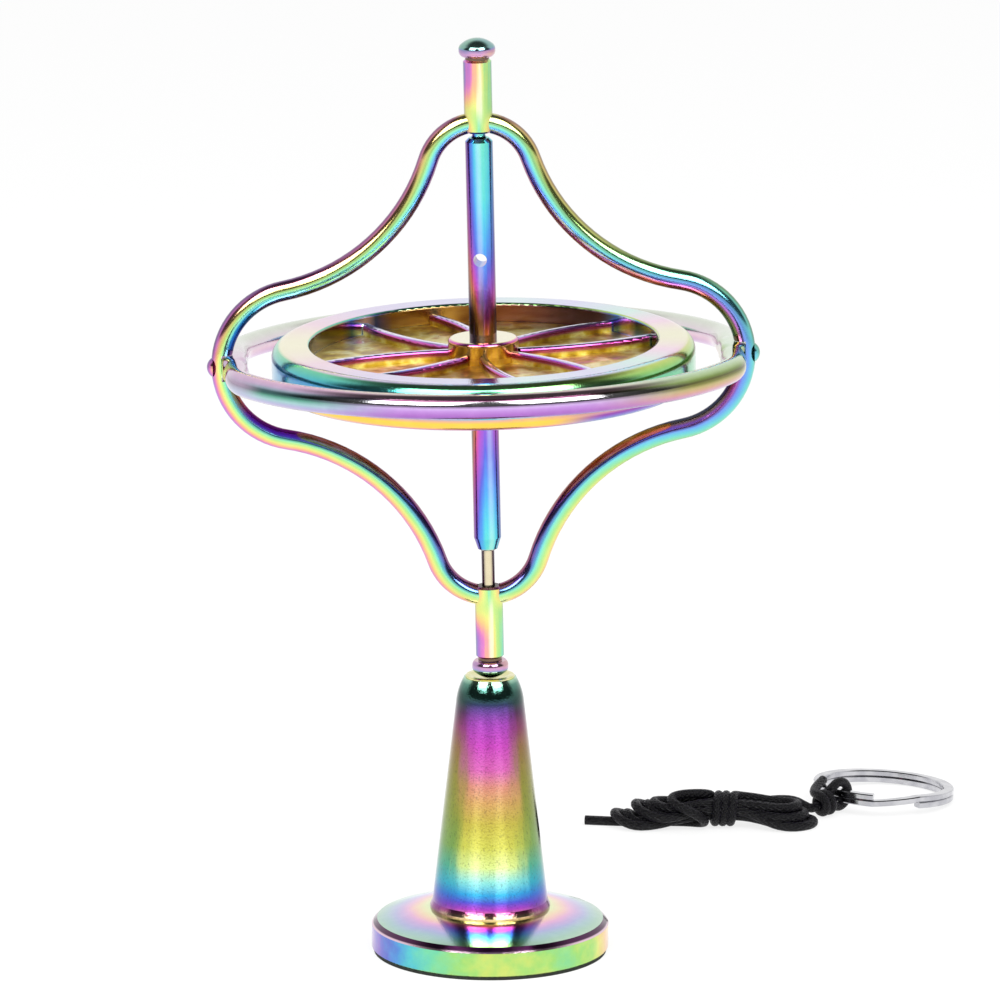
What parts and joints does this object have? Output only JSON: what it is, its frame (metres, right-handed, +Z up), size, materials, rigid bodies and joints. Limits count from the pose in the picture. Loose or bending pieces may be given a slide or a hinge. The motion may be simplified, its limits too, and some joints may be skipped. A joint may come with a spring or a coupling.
{
  "type": "gyroscope on stand",
  "caption": "Metal gyroscope with a ribbed flywheel in a cage of two crossed rings, standing on a cone-shaped stand, with a pull cord on a split ring.",
  "frame": {"origin": "middle of the stand's underside, on the surface that it stands on", "axes": "+Z up along the stand's axis, +X to the right and -Y towards the front, where the cord lies behind and to the right; the cage's upright loop is close to the XZ plane"},
  "size_m": [0.0932, 0.1117, 0.1124],
  "materials": {
    "rainbow_plate": "polished",
    "gold_plate": "polished",
    "bush_brass": "satin",
    "bare_steel": "satin",
    "ring_steel": "polished",
    "dark_pad": "matte",
    "black_cord": "satin"
  },
  "bodies": {
    "stand": {"base_pad": "dark_pad", "base_disc": "rainbow_plate", "stand_screw": "bare_steel", "stand_cone": "rainbow_plate"},
    "cup": {"cup_seat": "gold_plate"},
    "cage": {"cage_loop": "rainbow_plate", "equator_ring": "rainbow_plate", "rivet_left": "rainbow_plate", "rivet_right": "rainbow_plate", "top_knob": "rainbow_plate", "foot_knob": "rainbow_plate", "upper_bush": "bush_brass", "lower_bush": "bush_brass"},
    "rotor": {"rotor_shaft": "rainbow_plate", "flywheel": "rainbow_plate"},
    "pull_cord": {"split_ring": "ring_steel", "cord_hank": "black_cord", "cord_tail": "black_cord", "cord_lead": "black_cord", "ring_knot": "black_cord"}
  },
  "joints": [
    {"name": "precession", "type": "hinge", "parent": "stand", "child": "cup", "pos_m": [0, 0, 0.0369], "axis": [0, 0, 1], "continuous": true},
    {"name": "lean", "type": "hinge", "parent": "cup", "child": "cage", "pos_m": [0, 0, 0.0369], "axis": [-0.0349, 0.9994, 0], "range_deg": [-38.8, 41.2]},
    {"name": "rotor_spin", "type": "hinge", "parent": "cage", "child": "rotor", "pos_m": [-0.00076, -0.00003, 0.07319], "axis": [-0.0209, -0.0007, 0.9998], "continuous": true},
    {"name": "cord_lift", "type": "slide", "parent": "stand", "child": "pull_cord", "axis": [0, 0, 1], "range_m": [0, 0.12]}
  ]
}
